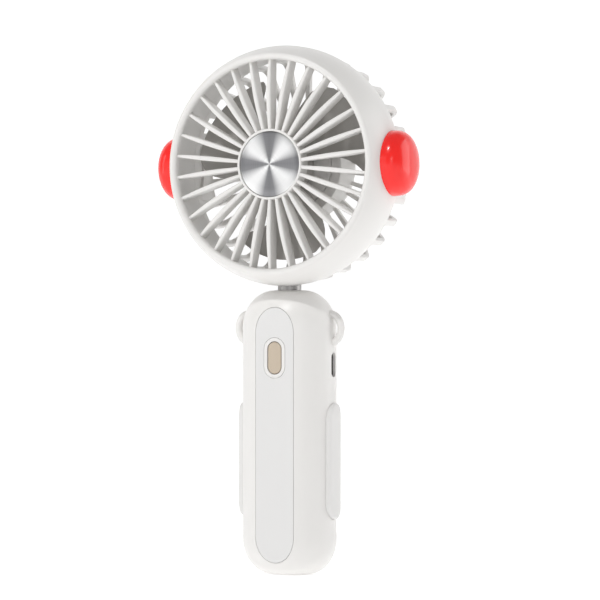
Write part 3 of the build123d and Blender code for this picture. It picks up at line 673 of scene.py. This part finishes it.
def blade():
    """Sheet along the middle surface, thickest at the root and thin at its edges."""
    rows, columns, step = 27, 37, 0.01
    front, back = [], []
    for i in range(rows):
        u = i / (rows - 1)
        for j in range(columns):
            v = j / (columns - 1)
            here = blade_middle(u, v)
            across = blade_middle(min(1, u + step), v) - blade_middle(max(0, u - step), v)
            along = blade_middle(u, min(1, v + step)) - blade_middle(u, max(0, v - step))
            normal = across.cross(along).normalized()
            edge_v = sqrt(max(0.0, 1 - abs(2 * v - 1) ** 7))
            edge_u = sqrt(max(0.0, 1 - u ** 9))
            thick = 0.06 + 0.62 * edge_v * edge_u * (1.15 - 0.35 * u)
            front.append(tuple(here + normal * thick))
            back.append(tuple(here - normal * thick))
    return slab(front, back, rows, columns)


def make_impeller():
    bore, outer, centre = 7.94, 8.8, 0.5
    front, floor, back, blades = -11.2, -9.98, 3.4, 3
    hub = rounded([(bore, floor, 0.3), (bore, back, 0.3), (outer, back, 0.3), (outer, front, 1.4),
                   (centre, front, 0.02), (centre, floor, 0.02)])
    hub.reverse()
    parts = [lathe(hub)] + [about_axis(blade(), 2 * pi * i / blades) for i in range(blades)]
    verts, faces = joined(parts)
    add_mesh("impeller_skin", verts, faces, M["impeller_white"], "rotor", "impeller_white", ["impeller"], 60)


# ---------------------------------------------------------------- stage, light and camera
def make_stage():
    """Pale floor that sweeps up behind, as one sheet."""
    size, back, rise = 3.2, 1.3, 2.2
    radius, steps = 0.5, 24
    line = [(-size, 0.0), (-0.8, 0.0), (0.0, 0.0), (back - radius, 0.0)]
    for i in range(1, steps + 1):
        t = pi / 2 * i / steps
        line.append((back - radius + radius * sin(t), radius - radius * cos(t)))
    line.append((back, rise))
    azimuth = radians(VIEW_AZIMUTH)
    away, side = Vector((-sin(azimuth), cos(azimuth), 0)), Vector((cos(azimuth), sin(azimuth), 0))
    verts = []
    for across in (-size, size):
        verts += [tuple(away * d + side * across + Vector((0, 0, h))) for d, h in line]
    count = len(line)
    faces = [(i, i + 1, count + i + 1, count + i) for i in range(count - 1)]
    mesh = bpy.data.meshes.new("stage")
    mesh.from_pydata(verts, [], faces)
    mesh.polygons.foreach_set("use_smooth", [True] * len(mesh.polygons))
    material, nodes, links, shader = principled("stage_paper", (0.93, 0.93, 0.93), 0.9,
                                                Emission_Color=(1, 1, 1, 1), Emission_Strength=0.4)
    paper = noise(nodes, links, texture_coordinates(nodes), 30.0, 3.0)
    links.new(tint(nodes, links, paper, (0.92, 0.92, 0.92), (0.94, 0.94, 0.94)), shader.inputs["Base Color"])
    mesh.materials.append(material)
    floor = bpy.data.objects.new("stage", mesh)
    bpy.context.scene.collection.objects.link(floor)


VIEW_AZIMUTH = 25.1
VIEW_DISTANCE = 0.870
VIEW_HEIGHT = 0.1038
VIEW_ASIDE = 0.00396
FRAME_WIDTH = 0.228
SENSOR = 36.0


def make_camera():
    azimuth = radians(VIEW_AZIMUTH)
    toward = Vector((sin(azimuth), -cos(azimuth), 0))
    right = Vector((cos(azimuth), sin(azimuth), 0))
    data = bpy.data.cameras.new("camera")
    data.sensor_width = SENSOR
    data.lens = SENSOR * VIEW_DISTANCE / FRAME_WIDTH
    data.clip_end = 20
    camera = bpy.data.objects.new("camera", data)
    target = right * VIEW_ASIDE + Vector((0, 0, VIEW_HEIGHT))
    camera.location = target + toward * VIEW_DISTANCE
    camera.rotation_euler = (pi / 2, 0, azimuth)
    bpy.context.scene.collection.objects.link(camera)
    bpy.context.scene.camera = camera


def area_light(name, azimuth, elevation, distance, size, power, aim=(0, 0, 0.11)):
    """Soft box at an azimuth seen from the camera: positive is to the camera's right."""
    a, e = radians(VIEW_AZIMUTH + azimuth), radians(elevation)
    place = Vector((sin(a) * cos(e), -cos(a) * cos(e), sin(e))) * distance + Vector(aim)
    data = bpy.data.lights.new(name, "AREA")
    data.shape = "RECTANGLE"
    data.size, data.size_y = size
    data.energy = power
    light = bpy.data.objects.new(name, data)
    light.location = place
    light.rotation_euler = (Vector(aim) - place).to_track_quat("-Z", "Y").to_euler()
    bpy.context.scene.collection.objects.link(light)


def make_light():
    world = bpy.data.worlds.new("studio")
    world.use_nodes = True
    world.node_tree.nodes["Background"].inputs["Color"].default_value = (1, 1, 1, 1)
    world.node_tree.nodes["Background"].inputs["Strength"].default_value = 0.32
    bpy.context.scene.world = world
    area_light("key_top", -30, 50, 1.3, (0.05, 0.05), 5.0)
    area_light("strip_left", -80, 12, 1.0, (0.25, 1.0), 1.6)
    area_light("soft_left", -50, 6, 1.4, (0.7, 0.9), 1.4)
    area_light("strip_right", 98, 12, 1.0, (0.6, 1.0), 3.4)
    area_light("front", 4, 10, 1.6, (0.5, 0.5), 1.7)
    view = bpy.context.scene.view_settings
    view.view_transform = "Standard"
    view.look = "None"
    view.exposure = 0.0


make_camera()
make_light()
make_stage()
dress_cad_nodes()
make_front_grille()
make_hub_disc()
make_ear(-1, "ear_cap_left")
make_ear(1, "ear_cap_right")
make_rear_grille()
make_rear_cap()
make_impeller()
